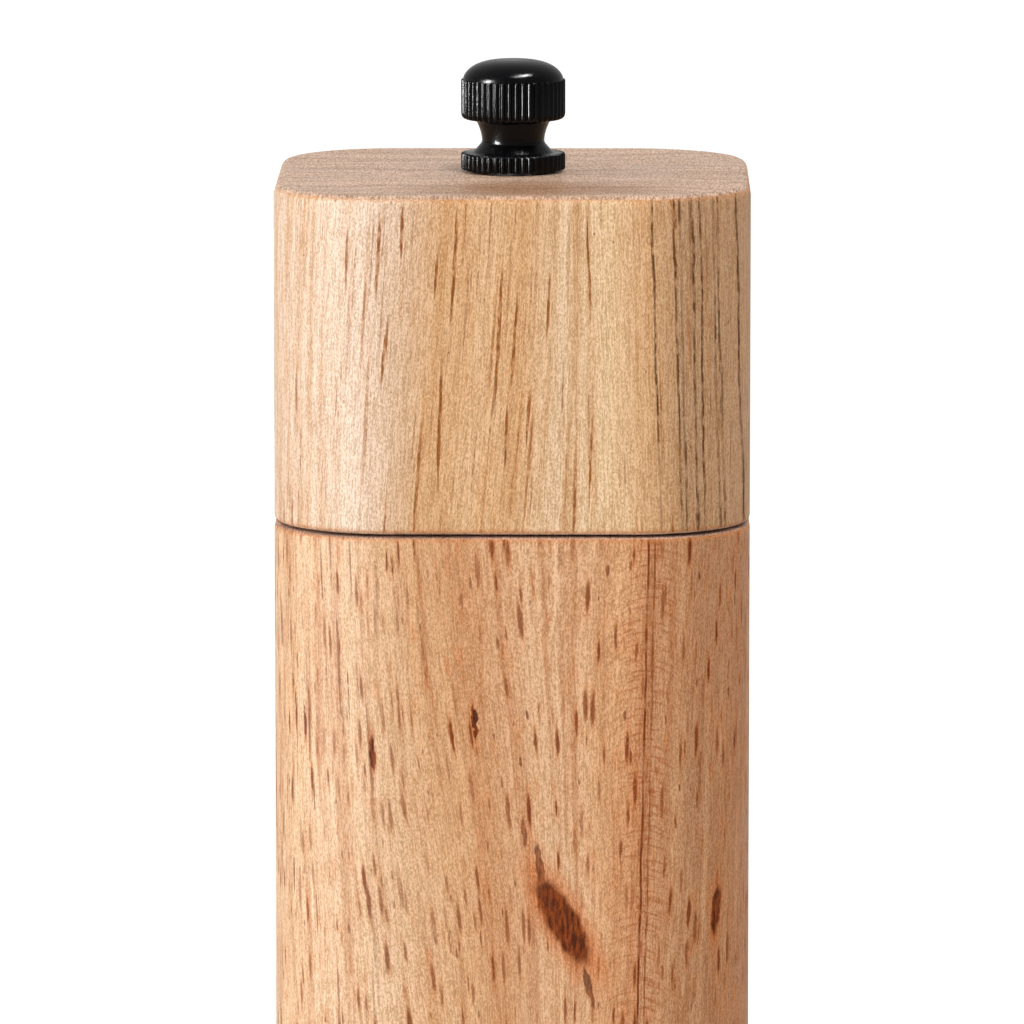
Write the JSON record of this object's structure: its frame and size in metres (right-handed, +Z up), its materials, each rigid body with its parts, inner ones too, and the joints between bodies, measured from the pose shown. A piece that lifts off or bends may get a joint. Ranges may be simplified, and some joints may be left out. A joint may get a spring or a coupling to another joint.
{
  "type": "pepper mill",
  "caption": "Tall square wooden pepper mill with rounded corners, a turning head, a black fluted adjusting knob and a ceramic grinder underneath.",
  "frame": {"origin": "centre of the base, on the surface the mill stands on", "axes": "+Z up along the spindle; -Y is the front face, +X its right-hand side"},
  "size_m": [0.058, 0.058, 0.2141],
  "materials": {
    "body_wood": "satin lacquered rubberwood, pinkish tan with short dark vessel flecks",
    "head_wood": "satin lacquered rubberwood, pale straw with long brown vessel lines",
    "knob_plastic": "black, satin gloss",
    "brass": "machined",
    "aluminium": "drawn bar",
    "plate_steel": "stamped, zinc plated",
    "screw_steel": "zinc plated",
    "washer_steel": "stamped stainless",
    "spring_steel": "drawn stainless wire",
    "housing_plastic": "moulded black, fine texture",
    "nylon": "natural nylon",
    "ceramic": "unglazed sintered ceramic"
  },
  "bodies": {
    "mill_body": {"body_block": "body_wood", "grinder_housing": "housing_plastic", "stator_burr": "ceramic", "stator_retainer": "housing_plastic", "housing_screw_1": "screw_steel", "housing_screw_2": "screw_steel", "housing_screw_3": "screw_steel"},
    "bush": {"spindle_bush": "nylon", "thrust_washer": "washer_steel", "adjusting_spring": "spring_steel"},
    "grinding_shaft": {"spindle": "aluminium", "spring_washer": "washer_steel", "rotor_core": "housing_plastic", "rotor_burr": "ceramic", "rotor_washer": "washer_steel", "rotor_screw": "screw_steel"},
    "head": {"head_block": "head_wood", "drive_plate": "plate_steel", "drive_plate_screw_1": "screw_steel", "drive_plate_screw_2": "screw_steel"},
    "knob": {"knob": "knob_plastic", "knob_insert": "brass"}
  },
  "joints": [
    {"name": "head_turn", "type": "hinge", "parent": "mill_body", "child": "bush", "pos_m": [0, 0, 0.159], "axis": [0, 0, 1], "continuous": true},
    {"name": "head_lift", "type": "slide", "parent": "bush", "child": "head", "axis": [0, 0, 1], "range_m": [0, 0.068]},
    {"name": "knob_turn", "type": "hinge", "parent": "head", "child": "knob", "pos_m": [0, 0, 0.2006], "axis": [0, 0, 1], "range_deg": [-630, 0]},
    {"name": "spindle_rise", "type": "slide", "parent": "bush", "child": "grinding_shaft", "axis": [0, 0, 1], "range_m": [0, 0.0014], "deforming": ["adjusting_spring"]}
  ],
  "couplings": [
    {"joint": "knob_turn", "follows": "spindle_rise", "rad_per_m": -7854}
  ]
}
